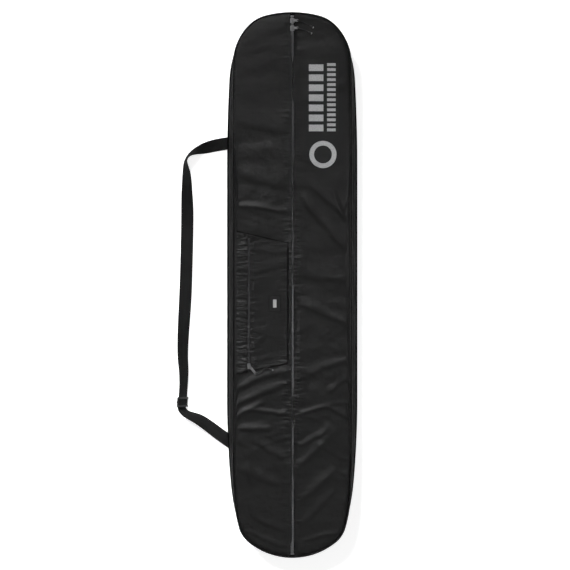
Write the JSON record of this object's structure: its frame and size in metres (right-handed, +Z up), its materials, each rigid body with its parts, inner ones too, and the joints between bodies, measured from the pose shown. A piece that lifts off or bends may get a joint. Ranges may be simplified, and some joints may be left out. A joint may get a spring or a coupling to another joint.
{
  "type": "snowboard bag",
  "caption": "Long padded soft bag with rounded ends, a central zip, a zipped pocket on its front and a webbing shoulder strap.",
  "frame": {"origin": "on the floor under the middle of the bag, which lies on its back", "axes": "+X to the bag's right, +Y along the zip towards the nose, +Z up out of the front"},
  "size_m": [0.5497, 1.65, 0.0938],
  "materials": {
    "outer_cloth": "matt woven polyester",
    "binding": "matt woven tape",
    "foam": "closed-cell foam",
    "lining": "smooth lining cloth",
    "zip_tape": "matt woven tape",
    "coil": "satin nylon coil",
    "zip_metal": "worn nickel plate",
    "puller_cord": "braided cord",
    "webbing": "ribbed webbing",
    "buckle_plastic": "moulded nylon",
    "label": "matt rubber"
  },
  "bodies": {
    "shell": {"back_panel": "outer_cloth", "back_padding": "foam", "back_lining": "lining", "back_binding": "binding", "front_piping": "binding", "side_wall_left": "outer_cloth", "side_wall_right": "outer_cloth", "nose_wall": "outer_cloth", "tail_wall": "outer_cloth", "front_panel_nose_left": "outer_cloth", "front_padding_nose_left": "foam", "main_zip_tape_nose_left": "zip_tape", "main_zip_coil_nose_left": "coil", "front_panel_nose_right": "outer_cloth", "front_padding_nose_right": "foam", "main_zip_tape_nose_right": "zip_tape", "main_zip_coil_nose_right": "coil", "front_panel_tail_left": "outer_cloth", "front_padding_tail_left": "foam", "main_zip_tape_tail_left": "zip_tape", "main_zip_coil_tail_left": "coil", "front_panel_tail_right": "outer_cloth", "front_padding_tail_right": "foam", "main_zip_tape_tail_right": "zip_tape", "main_zip_coil_tail_right": "coil", "main_zip_nose_stop": "zip_metal", "main_zip_tail_stop": "zip_metal", "shoulder_strap_long": "webbing", "shoulder_strap_short": "webbing"},
    "left_flap": {"front_panel_left": "outer_cloth", "front_padding_left": "foam", "front_lining_left": "lining", "main_zip_tape_left": "zip_tape", "main_zip_coil_left": "coil", "pocket_panel": "outer_cloth", "pocket_zip_tape_left": "zip_tape", "pocket_zip_tape_right": "zip_tape", "pocket_zip_coil_left": "coil", "pocket_zip_coil_right": "coil", "pocket_zip_stop": "zip_metal", "label_patch": "label"},
    "right_flap": {"front_panel_right": "outer_cloth", "front_padding_right": "foam", "front_lining_right": "lining", "main_zip_tape_right": "zip_tape", "main_zip_coil_right": "coil"},
    "upper_slider": {"main_slider_upper": "zip_metal"},
    "upper_pull": {"main_pull_upper": "zip_metal", "main_puller_upper": "puller_cord"},
    "lower_slider": {"main_slider_lower": "zip_metal"},
    "lower_pull": {"main_pull_lower": "zip_metal", "main_puller_lower": "puller_cord"},
    "pocket_slider": {"pocket_slider": "zip_metal"},
    "pocket_pull": {"pocket_pull": "zip_metal", "pocket_puller": "puller_cord"},
    "strap_adjuster": {"strap_adjuster": "buckle_plastic"}
  },
  "joints": [
    {"name": "left_flap_open", "type": "hinge", "parent": "shell", "child": "left_flap", "pos_m": [-0.1757, 0, 0.074], "axis": [0, -1, 0], "range_deg": [0, 125]},
    {"name": "right_flap_open", "type": "hinge", "parent": "shell", "child": "right_flap", "pos_m": [0.1757, 0, 0.074], "axis": [0, 1, 0], "range_deg": [0, 125]},
    {"name": "upper_slider_run", "type": "slide", "parent": "shell", "child": "upper_slider", "axis": [0, 1, 0], "range_m": [-0.005, 0.0025]},
    {"name": "upper_pull_turn", "type": "hinge", "parent": "upper_slider", "child": "upper_pull", "pos_m": [0, 0.7985, 0.0799], "axis": [0, -1, 0], "range_deg": [0, 170]},
    {"name": "lower_slider_run", "type": "slide", "parent": "shell", "child": "lower_slider", "axis": [0, -1, 0], "range_m": [0, 1.575]},
    {"name": "lower_pull_turn", "type": "hinge", "parent": "lower_slider", "child": "lower_pull", "pos_m": [0, 0.7755, 0.0799], "axis": [0, -1, 0], "range_deg": [0, 170]},
    {"name": "pocket_slider_run", "type": "slide", "parent": "left_flap", "child": "pocket_slider", "axis": [0, 1, 0], "range_m": [0, 0.375]},
    {"name": "pocket_pull_turn", "type": "hinge", "parent": "pocket_slider", "child": "pocket_pull", "pos_m": [-0.131, -0.2422, 0.0875], "axis": [0, -1, 0], "range_deg": [0, 100]},
    {"name": "strap_adjust", "type": "slide", "parent": "shell", "child": "strap_adjuster", "axis": [0.0599, 0.9982, 0], "range_m": [0, 0.04]}
  ]
}
